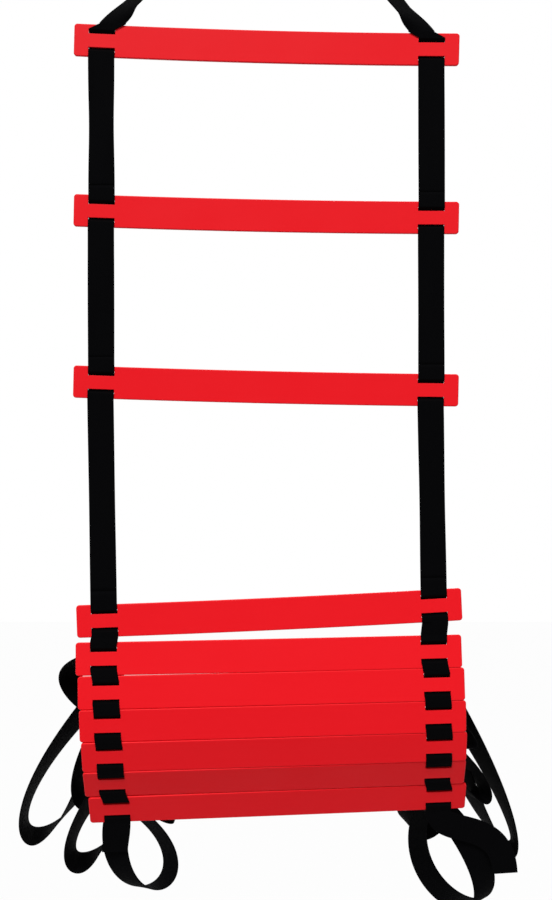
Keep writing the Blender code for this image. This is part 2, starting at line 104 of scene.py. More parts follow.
# Slack: the low control points of each loop, to the right, to the back and down, as shares of
# SLACK. A loop leaves and enters its slots straight for SLACK_LEAD.
SLACK = 0.340
SLACK_LEAD = 0.0272
SLACK_SHARES = {
    "left": (
        ((-0.704, 0.661, 0.062), (0.486, 0.16, 0.565)),
        ((-0.86, 0.436, 0.745), (-0.202, 0.857, 1.121)),
        ((-0.435, 0.39, 0.523), (0.115, 0.33, 0.452)),
        ((0.124, 0.642, 0.582), (0.509, 0.154, 0.233)),
        ((-0.606, 0.427, 0.676), (0.153, 0.388, 0.464)),
        ((0.601, 0.404, 0.38), (-0.186, -0.101, 0.566)),
    ),
    "right": (
        ((-0.547, 0.597, 0.325), (0.381, 0.136, 0.48)),
        ((0.668, 0.504, 0.863), (0.398, 0.811, 1.259)),
        ((0.242, 0.123, 0.148), (0.132, 0.056, 0.194)),
        ((0.437, 0.31, 0.29), (0.136, 0.269, 0.4)),
        ((0.305, 0.499, 0.481), (-0.388, 0.304, 0.409)),
        ((-0.435, 0.512, 0.571), (0.725, -0.146, 0.729)),
    ),
}
TAIL_SHARES = {
    "left": ((0.0, 0.0, 0.04), (-0.01, 0.01, 0.07), (-0.01, 0.01, 0.10)),
    "right": ((0.0, 0.0, 0.10), (0.22, 0.02, 0.02), (0.23, 0.02, 0.22)),
}

# Folds and cuts of the webbing. BEND_REACH, a reach into the bay past a rung's edge, and two heights
# above a slot's outer edge go only to hinged, which doesn't use them.
EDGE_TO_FOLD = 0.0012
STACKED_EDGE_TO_FOLD = 0.0009
BEND_REACH = 0.0022
DRAWN_FROM, DRAWN_TO = 0.002, 0.001
RETURN_DEGREES = 60.0
CUT_END_DEGREES = (15, 28, 41, 54, 67, 80)

# The head: where the straps meet, how they shift and turn on the way, and the sewn tab
HANG_TO_APEX = 0.058
HEAD_SHIFT = 0.012
HEAD_RISE = 0.0011
HEAD_FLAT = 0.016
HEAD_TWIST = 49.0
HEAD_TURN_SHARE = 0.12
TAB_LENGTH = 0.044
TAB_THROAT = 0.011
SEAM_ROWS = np.array([0.14, 0.22, 0.78, 0.86])
SEAM_SHARE = 0.86
STITCH_PITCH_SHARE = 0.45
STITCH_LEAN_SHARE = 0.4

# Steps along each curve, and where bays and folds are cut
BEND_STEPS = 8
FOLD_STEPS = 5
BAY_STEPS = 48
BAY_CUT = BAY_STEPS - 3
LOWER_MARGIN_STEPS = 3
UPPER_MARGIN_STEPS = 6
HEAD_MARGIN_STEPS = 10
LAST_MARGIN_STEPS = 4
JOIN_STEPS = 12
JOIN_CUT = 5
LOOP_STEPS = 96
LOOP_BEND_STEPS = 4
TAIL_STEPS = 32
HEAD_STEPS = 48
TAB_STEPS = 8
STITCH_STEPS = 4

# Steps around each outline and cross-section
SELVEDGE_STEPS = 8
FACE_STEPS = 12
CORNER_STEPS = 8
EDGE_STEPS = 6
SLOT_STEPS = 4
SLOT_RIM_STEPS = 3
EDGE_STOPS = 39
EDGE_STOPS_SHARE = 0.95
THREAD_SIDES = 6
WIRE_SIDES = 24
RING_CORNER_STEPS = 12
RING_ARCH_STEPS = 64
RING_BASE_STEPS = 9

# Places that agree to this many decimals are the same, and nearer points are merged
SAME_DECIMALS = 7
SAME = 10.0**-SAME_DECIMALS
MERGED = 1e-6

# Most values of a noise texture lie between these two
NOISE_RANGE = {"From_Min": 0.3, "From_Max": 0.7}

# Stage: metres, degrees, and watts or, for the sun, watts a square metre. A softbox has a place,
# a point that it faces, a size and a power.
FLOOR_HALF = 6.0
FLOOR_DROP = 0.5
PAPER_GLOW_SHARE = 0.97
ROOM_LIGHT = 0.17
SUN_PLACE = (-0.9, -2.2, 1.2)
SUN_HEIGHT, SUN_BEARING, SUN_SPREAD = 46, -16, 24
SUN_STRENGTH = 2.82
SOFTBOXES = {
    "fill_softbox": ((1.8, -2.6, 0.4), (0.0, 0.0, -0.8), 1.4, 6.0),
    "rear_softbox": ((0.9, 2.6, 0.5), (0.0, 0.0, -0.7), 1.6, 34.0),
}
CAMERA_PLACE = (0.0022, -1.35, -0.7241)
CAMERA_SENSOR, CAMERA_LENS = 36.0, 48.47


def linear(hex_colour):
    """An sRGB hex colour as linear red, green and blue."""
    part = np.array([int(hex_colour[i : i + 2], 16) / 255 for i in (1, 3, 5)])
    light = np.where(part <= 0.04045, part / 12.92, ((part + 0.055) / 1.055) ** 2.4)
    return tuple(float(v) for v in light)


def length_setting(name, words, default):
    return bpy.props.FloatProperty(
        name=name,
        description=words,
        default=default,
        min=0.0,
        precision=5,
        subtype="DISTANCE",
        unit="LENGTH",
    )


def colour_setting(name, words, hex_colour):
    return bpy.props.FloatVectorProperty(
        name=name,
        description=words,
        default=linear(hex_colour),
        size=3,
        min=0.0,
        max=1.0,
        subtype="COLOR",
    )


class LadderSizes(bpy.types.PropertyGroup):
    """Sizes of the ladder's own pieces."""

    rung_length: length_setting("Rung length", "Length of each moulded rung", 0.430)
    rung_height: length_setting("Rung height", "Height of each rung as it hangs", 0.035)
    rung_thickness: length_setting("Rung thickness", "Thickness of each rung", 0.004)
    corner_radius: length_setting("Corner radius", "Radius of a rung's four corners", 0.0035)
    edge_swell: length_setting("Edge swell", "How far a rung's long edges stand out", 0.00055)
    flat_join_swell: length_setting("Flat join swell", "The same, on rungs 5 and 6", 0.0008)
    edge_radius: length_setting("Edge radius", "Rounding of a rung's long edges", 0.0011)
    slot_height: length_setting("Slot height", "Height of each slot", 0.005)
    slot_clearance: length_setting("Slot clearance", "Room beside the webbing in a slot", 0.0001)
    slot_rim: length_setting("Slot rim", "Rounding of a slot's rim", 0.0002)
    bridge_height: length_setting("Bridge height", "Height of the bar between two slots", 0.015)
    rail_spacing: length_setting("Rail spacing", "Distance between the middles of both rails", 0.368)
    web_width: length_setting("Webbing width", "Width of the webbing", 0.0295)
    web_thickness: length_setting("Webbing thickness", "Thickness of the webbing", 0.0014)
    web_gap: length_setting("Webbing gap", "Gap between the webbing and a rung", 0.0003)
    warp_spacing: length_setting("Warp spacing", "Distance between lengthwise ribs", 0.0012)
    weft_spacing: length_setting("Weft spacing", "Distance between crosswise threads", 0.0016)
    ring_wire: length_setting("Ring wire", "Diameter of the ring's wire", 0.004)
    ring_height: length_setting("Ring height", "Height of the opening in the ring", 0.024)
    ring_corner: length_setting("Ring corner", "Radius of the ring's two lower corners", 0.004)
    ring_clearance: length_setting("Ring clearance", "Room beside the tab in the ring", 0.0015)
    stitch_length: length_setting("Stitch length", "Length of one stitch in the tab", 0.0022)
    thread_radius: length_setting("Thread radius", "Radius of the sewing thread", 0.00022)


class LadderColours(bpy.types.PropertyGroup):
    """Colours of the ladder and of the stage."""

    rung: colour_setting("Rungs", "Red of the moulded rungs", "#f3101d")
    webbing: colour_setting("Webbing", "Black of the rails", "#040405")
    thread: colour_setting("Thread", "Colour of the stitching in the tab", "#141416")
    steel: colour_setting("Steel", "Colour of the ring", "#c9cacc")
    stage: colour_setting("Stage", "Colour of the floor", "#a8a8a8")


# Where things hang


def about(axis, degrees):
    """Rotation about one axis of the frame, as a 3 by 3 matrix."""
    c, s = math.cos(math.radians(degrees)), math.sin(math.radians(degrees))
    i, j = {"X": (1, 2), "Y": (2, 0), "Z": (0, 1)}[axis]
    turn = np.eye(3)
    turn[i, i] = turn[j, j] = c
    turn[i, j], turn[j, i] = -s, s
    return turn


def web_front(s):
    """How far in front of a rung's middle plane the webbing's middle lies."""
    return -(s.rung_thickness / 2 + s.web_gap + s.web_thickness / 2)


def bend_radius(s):
    """Radius of the webbing's middle where it bends round a slot's edge."""
    return s.web_gap + s.web_thickness / 2


def fold_height(s, rung):
    """Height of a rung's folds above and below its middle."""
    return s.rung_height / 2 + (STACKED_EDGE_TO_FOLD if rung >= FIRST_STACKED else EDGE_TO_FOLD)


def hung_rungs(s):
    """(turn, centre) of each rung. Its upper fold hangs one bay below the fold of the rung above."""
    places, fold = [], None
    for rung in RUNGS:
        turn = about("Z", YAWS[rung]) @ about("Y", ROLLS[rung]) @ about("X", TILTS[rung])
        rise = turn @ np.array([0, web_front(s), fold_height(s, rung)])
        if fold is None:
            fold = np.array([0, 0, rise[2] - HANG_TO_RUNG])
        centre = fold - rise
        centre[0] = CENTRES_X[rung]
        places.append((turn, centre))
        fold = centre + turn @ np.array([0, web_front(s), -fold_height(s, rung)])
        if rung < FIRST_STACKED:
            fold[2] -= BAY_LENGTHS[rung]
    return places


def sag(s, rung, x):
    """A rung's bend in its own plane: a parabola that is zero at both ends."""
    return -SAGS[rung] * (1 - (2 * x / s.rung_length) ** 2)


def seated(s, places, rung, points):
    """Points of a straight rung, moved to where they are on the hanging rung, which sags."""
    turn, centre = places[rung]
    bent = np.array(points, float)
    bent[..., 2] += sag(s, rung, bent[..., 0])
    return centre + bent @ turn.T


# Webbing: a stretch is its middle line, the direction of its width and that of its front face


def unit(vectors):
    return vectors / np.linalg.norm(vectors, axis=-1, keepdims=True)


def joined(*stretches):
    return tuple(np.concatenate(parts) for parts in zip(*stretches))


def tail(stretch):
    """A stretch without its first station, which the one before it already has."""
    return tuple(part[1:] for part in stretch)


def arc(centre, radius, first, last, inwards=1):
    """A bend in the (y, z) plane: a radius times cosine and sine of an even run of angles."""
    angles = np.radians(np.linspace(first, last, BEND_STEPS + 1))
    out = np.column_stack([np.cos(angles), np.sin(angles)])
    return np.array(centre) + radius * out, inwards * out


def pass_slope(s):
    """The slope, in degrees below level, of webbing that runs round both edges of a slot."""
    span = math.hypot(s.rung_thickness, s.slot_height)
    steep = math.atan2(s.slot_height, s.rung_thickness)
    return math.degrees(steep - math.asin(2 * bend_radius(s) / span))


class Crossing:
    """Where a rail crosses a rung. Its stretches run from the top down."""

    def __init__(self, s, places, rung, side):
        self.s, self.places, self.rung = s, places, rung
        self.number = rung + 1
        self.turn = places[rung][0]
        self.across = self.turn[:, 0]
        self.x = side * s.rail_spacing / 2
        self.lip = s.bridge_height / 2 + s.slot_height
        self.edge = s.rung_height / 2
        self.fold = fold_height(s, rung)

    def point(self, y, z):
        """A point on the rail's middle line, from its place on the straight rung."""
        return seated(self.s, self.places, self.rung, [self.x, y, z])

    def fold_point(self, up):
        return self.point(web_front(self.s), up * self.fold)

    def stretch(self, line, facing):
        """A stretch from a line and its facing in the rung's (y, z) plane, sheared with its sag."""
        line, facing = np.array(line, float), np.array(facing, float)
        middle = np.column_stack([np.full(len(line), self.x), line])
        slope = 8 * SAGS[self.rung] * self.x / self.s.rung_length**2
        across = np.tile(self.turn @ np.array([1, 0, slope]), (len(line), 1))
        facing = np.column_stack([np.zeros(len(line)), facing]) @ self.turn.T
        return seated(self.s, self.places, self.rung, middle), across, facing

    def threaded(self, up):
        """Through the upper (up is 1) or lower (-1) slot.

        It runs between the front of the margin and the middle of the bridge's back.
        """
        s, half = self.s, self.s.rung_thickness / 2
        radius, slope = bend_radius(s), pass_slope(s)
        front, front_facing = arc((-half, self.lip), radius, 180, 270 - slope)
        back, back_facing = arc((half, s.bridge_height / 2), radius, 90 - slope, 0, -1)
        line = np.vstack([front, back, [(half + radius, 0)]])
        facing = np.vstack([front_facing, back_facing, [(-1, 0)]])
        if up < 0:
            line, facing = line[::-1] * (1, -1), facing[::-1] * (1, -1)
        return self.stretch(line, facing)

    def over_margin(self, start, end, steps):
        """Straight down the front of a margin, from one height to another."""
        heights = np.linspace(start, end, steps + 1)
        line = np.column_stack([np.full(len(heights), web_front(self.s)), heights])
        return self.stretch(line, np.tile((-1.0, 0.0), (len(heights), 1)))

    def drawn_through(self, piece, above):
        """Bakes the piece's place.

        Two heights above the upper slot, where the rung is drawn down its webbing, go to hinged,
        which doesn't use them.
        """
        ends = (self.point(web_front(self.s), self.lip + rise) for rise in (DRAWN_FROM, DRAWN_TO))
        hinged(piece, above, f"slat_{self.number}", *ends)


def drawn_to(stretch, target, across, start, end):
    """Shifts a stretch towards a target point and width, by shares that run evenly from start to end.

    The end of the stretch with the greater share reaches the target.
    """
    middle, width, facing = stretch
    share = np.linspace(start, end, len(middle))[:, None]
    reach = middle[-1] if end > start else middle[0]
    most = max(start, end)
    return middle + (target - reach) * share / most, width + (across - width) * share / most, facing


def carried(tangents, first, last, middle=None, twist=0.0):
    """Width at each station: carried along the path without twist, then turned about the path.

    The turn left over at the end is shared out evenly, and a further turn grows and fades with the
    squared sine of the way along, so that the width lies along middle half-way, whichever way is
    nearer, or turns by twist.
    """
    plain = np.empty_like(tangents)
    across = first
    for i, ahead in enumerate(tangents):
        across = across - (across @ ahead) * ahead
        across = plain[i] = across / np.linalg.norm(across)

    def turn(one, other, axis):
        flat = [unit(v - (v @ axis) * axis) for v in (one, other)]
        return math.atan2(np.cross(flat[0], flat[1]) @ axis, flat[0] @ flat[1])

    left_over = turn(plain[-1], last, tangents[-1])
    half = len(tangents) // 2
    if middle is not None:
        twist = turn(plain[half], middle, tangents[half]) - left_over / 2
        twist = (twist + math.pi / 2) % math.pi - math.pi / 2
    share = np.linspace(0, 1, len(tangents))
    angle = (left_over * share + twist * np.sin(np.pi * share) ** 2)[:, None]
    return plain * np.cos(angle) + np.cross(tangents, plain) * np.sin(angle)


def smooth_curve(controls, steps):
    """Points and tangents of the Bezier curve of these control points, at even parameters."""
    controls = np.array(controls, float)
    t = np.linspace(0, 1, steps + 1)[:, None]

    def weights(degree):
        i = np.arange(degree + 1)
        share = np.array([math.comb(degree, k) for k in i])
        return share * t**i * (1 - t) ** (degree - i)

    degree = len(controls) - 1
    return weights(degree) @ controls, unit(weights(degree - 1) @ np.diff(controls, axis=0))


def hung_from(start, shares):
    """Control points of slack, to the right, to the back and down from a point."""
    return [start + SLACK * np.array([right, back, -down]) for right, back, down in shares]


def lofted(points, tangents, across):
    return points, across, np.cross(tangents, across)


# Meshes


def web_profile(s):
    """A cut through the webbing, as (across, thick) points: flats between half-round selvedges."""
    thick = s.web_thickness / 2
    wide = s.web_width / 2 - thick
    angles = np.linspace(-np.pi / 2, np.pi / 2, SELVEDGE_STEPS + 1)
    edge = np.column_stack([wide + thick * np.cos(angles), thick * np.sin(angles)])
    face = np.linspace(wide, -wide, FACE_STEPS + 1)[1:-1]
    upper = np.column_stack([face, np.full(len(face), thick)])
    half = np.vstack([edge, upper])
    return np.vstack([half, -half])


def quads_between(rings, around, looped=False):
    """Four-sided faces from ring to ring of equally many points, as indices."""
    i, j = np.meshgrid(np.arange(rings if looped else rings - 1), np.arange(around), indexing="ij")
    here, after, beside = i * around, (i + 1) % rings * around, (j + 1) % around
    return np.stack([here + j, here + beside, after + beside, after + j], -1).reshape(-1, 4)


def end_caps(rings, around):
    """The flat faces on the first and last ring, as indices."""
    return [list(range(around))[::-1], list(range((rings - 1) * around, rings * around))]


def skin(name, rings, uv=None, looped=False):
    """A closed surface over rings of points, with a flat cap on each open end."""
    count, around, _ = rings.shape
    faces = quads_between(count, around, looped).tolist()
    smooth = [True] * len(faces)
    if not looped:
        faces += end_caps(count, around)
        smooth += [False, False]
    return mesh_of(name, rings.reshape(-1, 3), faces, smooth, uv)


def mesh_of(name, points, faces, smooth, uv=None):
    """A mesh with its doubles merged and its faces turned outwards."""
    mesh = bpy.data.meshes.new(name)
    mesh.from_pydata(np.asarray(points).tolist(), [], faces)
    mesh.polygons.foreach_set("use_smooth", smooth)
    if uv is not None:
        corners = np.empty(len(mesh.loops), np.int64)
        mesh.loops.foreach_get("vertex_index", corners)
        layer = mesh.uv_layers.new(name="webbing")
        layer.uv.foreach_set("vector", np.asarray(uv, np.float32)[corners].ravel())
    work = bmesh.new()
    work.from_mesh(mesh)
    bmesh.ops.remove_doubles(work, verts=work.verts, dist=MERGED)
    bmesh.ops.recalc_face_normals(work, faces=work.faces)
    work.to_mesh(mesh)
    work.free()
    return mesh


def woven(s, name, stretch, material, cut_end=False):
    """The webbing's profile carried along a stretch.

    With cut_end its last edge is rounded, as heat cutting does: the profile thins with the cosine
    of an angle while it moves on by the sine.
    """
    middle, across, facing = stretch
    profile = web_profile(s)
    share = np.ones(len(middle))
    if cut_end:
        ahead = unit(middle[-1] - middle[-2])
        angles = np.radians(CUT_END_DEGREES)
        reach = np.sin(angles) * s.web_thickness / 2
        middle = np.vstack([middle, middle[-1] + np.outer(reach, ahead)])
        across = np.vstack([across, np.tile(across[-1], (len(angles), 1))])
        facing = np.vstack([facing, np.tile(facing[-1], (len(angles), 1))])
        share = np.concatenate([share, np.cos(angles)])
    thick = profile[:, 1] * share[:, None]
    rings = middle[:, None] + across[:, None] * profile[:, :1] + facing[:, None] * thick[:, :, None]
    along = np.concatenate([[0], np.cumsum(np.linalg.norm(np.diff(middle, axis=0), axis=1))])
    u = np.broadcast_to(profile[:, 0], rings.shape[:2])
    v = np.broadcast_to(along[:, None], rings.shape[:2])
    return placed(name, skin(name, rings, np.stack([u, v], -1).reshape(-1, 2)), material)


def placed(name, mesh, material):
    """Adds a mesh to the scene under this name, at the origin."""
    piece = bpy.data.objects.new(name, mesh)
    bpy.context.scene.collection.objects.link(piece)
    mesh.materials.append(material)
    return piece


def hinged(piece, above, below, start, end):
    """Bakes the piece's place into its mesh.

    above, below, start and end are not used.
    """
    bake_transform(piece)


# Rungs


def rounded_outline(half_length, half_height, radius, stops, steps):
    """A rounded rectangle, counter-clockwise: quarter circles, and stops along both long sides."""
    angles = np.linspace(0, np.pi / 2, steps + 1)
    quarter = np.column_stack([np.cos(angles), np.sin(angles)]) * radius
    quarter = quarter + (half_length - radius, half_height - radius)
    upper = np.column_stack([-stops, np.full(len(stops), half_height)])
    half = np.vstack([quarter, upper, (quarter * (-1, 1))[::-1]])
    return np.vstack([half, -half])


def rolled_edge(thickness, radius, steps):
    """(inset, y) down a rounded edge: a quarter circle, a straight wall and a quarter circle."""
    angles = np.linspace(0, np.pi / 2, steps + 1)
    inset, depth = radius * (1 - np.sin(angles)), radius * (1 - np.cos(angles))
    front = np.column_stack([inset, depth - thickness / 2])
    return np.vstack([front, (front * (1, -1))[::-1]])


def rung_surface(s, swell):
    """A straight rung: its rim, four slots with rounded rims, and flat faces between them.

    Each rim is an outline carried down a rolled edge, growing or shrinking with the inset. The
    flat faces are cut at the slots' columns and through the slots' middles, so that each part is
    one polygon.
    """
    half_length, half_height = s.rung_length / 2, s.rung_height / 2 + swell
    slot_length = s.web_width / 2 + s.slot_clearance
    slot_middle = (s.bridge_height + s.slot_height) / 2
    rails = np.array([-1, 1]) * s.rail_spacing / 2
    column = slot_length + s.edge_radius
    even = np.linspace(-EDGE_STOPS_SHARE, EDGE_STOPS_SHARE, EDGE_STOPS) * half_length
    stops = np.concatenate([even, rails - column, rails, rails + column])
    stops = np.unique(stops.round(SAME_DECIMALS))
    points, faces = [], []

    def rim(centre, outline_at, profile):
        """Adds a rim and returns the indices of its front and back outlines."""
        start = sum(len(p) for p in points)
        for inset, y in profile:
            flat = outline_at(inset) + centre
            points.append(np.column_stack([flat[:, 0], np.full(len(flat), y), flat[:, 1]]))
        faces.extend((quads_between(len(profile), len(flat)) + start).tolist())
        first = start + np.arange(len(flat))
        return first, first + (len(profile) - 1) * len(flat)

    def edge_at(inset):
        radius = s.corner_radius - inset
        return rounded_outline(half_length - inset, half_height - inset, radius, stops, CORNER_STEPS)

    def slot_at(inset):
        high, radius = s.slot_height / 2 + inset, s.slot_clearance + inset
        return rounded_outline(slot_length + inset, high, radius, np.zeros(1), SLOT_STEPS)

    outer = rim((0, 0), edge_at, rolled_edge(s.rung_thickness, s.edge_radius, EDGE_STEPS))
    slot_edge = rolled_edge(s.rung_thickness, s.slot_rim, SLOT_RIM_STEPS)
    holes = {(x, z): rim((x, z * slot_middle), slot_at, slot_edge) for x in rails for z in (-1, 1)}
    rolled = len(faces)
    cloud = np.vstack(points)
    extra = []

    def point(x, y):
        """Adds a point at the rung's middle height and returns its index."""
        extra.append((x, y, 0))
        return len(cloud) + len(extra) - 1

    def turning(chosen, x, z, way, up):
        """The chosen points by their angle about (x, z), from the way's side towards the up side."""
        angles = np.arctan2((cloud[chosen, 2] - z) * up, (cloud[chosen, 0] - x) * way)
        return chosen[np.argsort(angles, kind="stable")].tolist()

    def along(border, low, high, up):
        """The border's points between two x, on the upper or lower side, from left to right."""
        x, z = cloud[border, 0], cloud[border, 2]
        chosen = border[(x >= low - SAME) & (x <= high + SAME) & (z * up > 0)]
        return chosen[np.argsort(cloud[chosen, 0], kind="stable")].tolist()

    for layer, border in enumerate(outer):
        y = cloud[border[0], 1]
        reach, inner = rails[1] + column, rails[1] - column
        for end in (-1, 1):
            ring = border[cloud[border, 0] * end >= reach - SAME]
            faces.append(turning(ring, end * reach, 0, end, 1) + [point(end * reach, y)])
        lower, upper = along(border, -inner, inner, -1), along(border, -inner, inner, 1)[::-1]
        faces.append(lower + [point(inner, y)] + upper + [point(-inner, y)])
        for (x, z), slot in holes.items():
            for way in (-1, 1):
                side = x + way * column
                near = slot[layer][(cloud[slot[layer], 0] - x) * way >= -SAME]
                near = turning(near, x, z * slot_middle, way, z)
                edge = along(border, min(x, side), max(x, side), z)[::way]
                faces.append([point(x, y)] + near + edge + [point(side, y)])
    return np.vstack([cloud, extra]), faces, [i < rolled for i in range(len(faces))]


# Materials


def feed(node, **inputs):
    """Sets a node's inputs by name, or by i and a number. A socket or a node is linked to them."""
    for name, value in inputs.items():
        plain = name.replace("_", " ")
        numbered = plain[0] == "i" and plain[1:].isdigit()
        socket = node.inputs[int(plain[1:]) if numbered else plain]
        if isinstance(value, bpy.types.Node):
            value = value.outputs[0]
        if isinstance(value, bpy.types.NodeSocket):
            node.id_data.links.new(value, socket)
        else:
            socket.default_value = value


def add_node(tree, kind, settings=None, **inputs):
    """Adds a node with its settings and feeds its inputs."""
    node = tree.nodes.new(kind)
    for name, value in (settings or {}).items():
        setattr(node, name, value)
    feed(node, **inputs)
    return node


def new_material(name):
    """An empty material and its node tree, with a surface shader on its output."""
    material = bpy.data.materials.new(name)
    material.use_nodes = True
    tree = material.node_tree
    tree.nodes.clear()
    shader = add_node(tree, "ShaderNodeBsdfPrincipled")
    add_node(tree, "ShaderNodeOutputMaterial", Surface=shader)
    return material, tree, shader


def moulded_polypropylene(colour):
    # Polypropylene, injection moulded in a finely sparked tool: an even red with a soft, wide
    # highlight. Its grain is finer than 0.3 mm and is drawn at 0.6 mm, so that it can show. The
    # slats have sunk a little as they cooled, in waves 60 mm long.
    grain_size, grain_depth = 0.0006, 0.00003
    wave_length, wave_depth = 0.06, 0.0004
    material, tree, shader = new_material("moulded_polypropylene")
    place = add_node(tree, "ShaderNodeTexCoord").outputs["Object"]
    grain = add_node(tree, "ShaderNodeTexNoise", Vector=place, Scale=1 / grain_size, Detail=2.0)
    wave = add_node(tree, "ShaderNodeTexNoise", Vector=place, Scale=1 / wave_length, Detail=1.0)
    rough = add_node(tree, "ShaderNodeMapRange", Value=wave, To_Min=0.40, To_Max=0.48, **NOISE_RANGE)
    fine = add_node(tree, "ShaderNodeBump", Strength=0.35, Distance=grain_depth, Height=grain)
    broad = add_node(
        tree, "ShaderNodeBump", Strength=1.0, Distance=wave_depth, Height=wave, Normal=fine
    )
    feed(shader, Base_Color=(*colour, 1.0), Roughness=rough, Normal=broad)
    feed(shader, IOR=1.49, Specular_IOR_Level=0.18)
    return material


def woven_polypropylene(colour, warp, weft):
    # Polypropylene webbing, woven from flat black yarn: dull, with rows of small raised threads
    # that lie like bricks. The spacings are those of 30 mm webbing, and its threads stand up by
    # 0.3 mm. A thread's height is a power of two sines' product, across and along the webbing.
    thread_height, roundness = 0.0003, 0.6
    # Shares of the webbing's colour: painted shade in the hollows between threads, and a painted
    # highlight on their tops
    shade, shine = 0.5, 1.4
    material, tree, shader = new_material("woven_polypropylene")
    place = add_node(tree, "ShaderNodeUVMap", {"uv_map": "webbing"})
    split = add_node(tree, "ShaderNodeSeparateXYZ", Vector=place).outputs
    divide, multiply, add = ({"operation": name} for name in ("DIVIDE", "MULTIPLY", "ADD"))
    across = add_node(tree, "ShaderNodeMath", divide, i0=split["X"], i1=warp)
    row = add_node(tree, "ShaderNodeMath", {"operation": "FLOOR"}, i0=across)
    odd = add_node(tree, "ShaderNodeMath", {"operation": "FLOORED_MODULO"}, i0=row, i1=2.0)
    shift = add_node(tree, "ShaderNodeMath", multiply, i0=odd, i1=0.5)
    along = add_node(tree, "ShaderNodeMath", divide, i0=split["Y"], i1=weft)
    along = add_node(tree, "ShaderNodeMath", add, i0=along, i1=shift)
    ribs = []
    for way in (across, along):
        angle = add_node(tree, "ShaderNodeMath", multiply, i0=way, i1=math.pi)
        wave = add_node(tree, "ShaderNodeMath", {"operation": "SINE"}, i0=angle)
        ribs.append(add_node(tree, "ShaderNodeMath", {"operation": "ABSOLUTE"}, i0=wave))
    both = add_node(tree, "ShaderNodeMath", multiply, i0=ribs[0], i1=ribs[1])
    height = add_node(tree, "ShaderNodeMath", {"operation": "POWER"}, i0=both, i1=roundness)
    bump = add_node(tree, "ShaderNodeBump", Strength=0.8, Distance=thread_height, Height=height)
    # The base colour runs with each thread's height from the painted shade to the painted highlight
    low, high = ((*(share * part for part in colour), 1.0) for share in (shade, shine))
    painted_thread_light = add_node(tree, "ShaderNodeMix", {"data_type": "RGBA"}, i0=height, i6=low, i7=high)
    feed(shader, Base_Color=painted_thread_light.outputs[2], Roughness=0.72, Normal=bump)
    feed(shader, IOR=1.49, Specular_IOR_Level=0.02)
    return material


def bonded_thread(colour):
    # Bonded nylon thread, twisted and waxed: a little shinier than the webbing under it.
    material, _, shader = new_material("bonded_thread")
    feed(shader, Base_Color=(*colour, 1.0), Roughness=0.5, IOR=1.53)
    return material


def nickel_plated_steel(colour):
    # Steel wire, bent, welded and nickel plated: bright, with a faint haze in patches of 4 mm.
    patch = 0.004
    material, tree, shader = new_material("nickel_plated_steel")
    place = add_node(tree, "ShaderNodeTexCoord").outputs["Object"]
    haze = add_node(tree, "ShaderNodeTexNoise", Vector=place, Scale=1 / patch, Detail=3.0)
    rough = add_node(tree, "ShaderNodeMapRange", Value=haze, To_Min=0.18, To_Max=0.3, **NOISE_RANGE)
    feed(shader, Base_Color=(*colour, 1.0), Metallic=1.0, Roughness=rough)
    return material


def studio_paper(colour):
    # Matt paper under bright light. The camera, mirrors and glass see most of it as plain white,
    # and the rest of it keeps the ladder's soft shadow.
    material, tree, shader = new_material("studio_paper")
    feed(shader, Base_Color=(*colour, 1.0), Roughness=0.9, Specular_IOR_Level=0.1)
    glow = add_node(tree, "ShaderNodeEmission", Color=(1, 1, 1, 1), Strength=1.0)
    multiply = {"operation": "MULTIPLY"}
    share = add_node(tree, "ShaderNodeMath", multiply, i0=seen_directly(tree), i1=PAPER_GLOW_SHARE)
    output = shader.outputs["BSDF"].links[0].to_node
    feed(output, Surface=add_node(tree, "ShaderNodeMixShader", i0=share, i1=shader, i2=glow))
    return material


def seen_directly(tree):
    """1 for rays from the camera, from mirrors and through glass."""
    greater = {"operation": "MAXIMUM"}
    ray = add_node(tree, "ShaderNodeLightPath").outputs
    mirror, glass = ray["Is Glossy Ray"], ray["Is Transmission Ray"]
    bounced = add_node(tree, "ShaderNodeMath", greater, i0=mirror, i1=glass)
    return add_node(tree, "ShaderNodeMath", greater, i0=ray["Is Camera Ray"], i1=bounced)


# Pieces


class LadderPiece:
    """What the operators share: the settings, where the rungs hang and the webbing's finish."""

    bl_options = {"REGISTER", "UNDO"}

    def ready(self, context):
        s, colours = context.scene.ladder_sizes, context.scene.ladder_colours
        return s, colours, hung_rungs(s)

    def webbing(self, s, colours):
        """The webbing's material, made once for all its pieces."""
        made = bpy.data.materials.get("woven_polypropylene")
        return made or woven_polypropylene(tuple(colours.webbing), s.warp_spacing, s.weft_spacing)

    def on_both_rails(self, context, rungs, build):
        """Builds a piece at each of these rungs, on the left rail and then on the right one."""
        s, colours, places = self.ready(context)
        black = self.webbing(s, colours)
        for name, side in SIDES.items():
            rail = [Crossing(s, places, rung, side) for rung in RUNGS]
            for rung in rungs:
                build(s, rail, rung, name, black)
        return {"FINISHED"}


class LADDER_OT_mould_rungs(LadderPiece, bpy.types.Operator):
    """Moulds the ten rungs and bends each to its sag"""

    bl_idname = "ladder.mould_rungs"
    bl_label = "Mould rungs"

    def execute(self, context):
        s, colours, places = self.ready(context)
        red = moulded_polypropylene(tuple(colours.rung))
        for rung in RUNGS:
            swell = s.flat_join_swell if rung in FLAT_JOINS else s.edge_swell
            points, faces, smooth = rung_surface(s, swell)
            name = f"moulded_rung_{rung + 1:02d}"
            mesh = mesh_of(name, seated(s, places, rung, points), faces, smooth)
            piece = placed(name, mesh, red)
            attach(piece, f"slat_{rung + 1}")
            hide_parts(f"rung_{rung + 1:02d}")
        return {"FINISHED"}


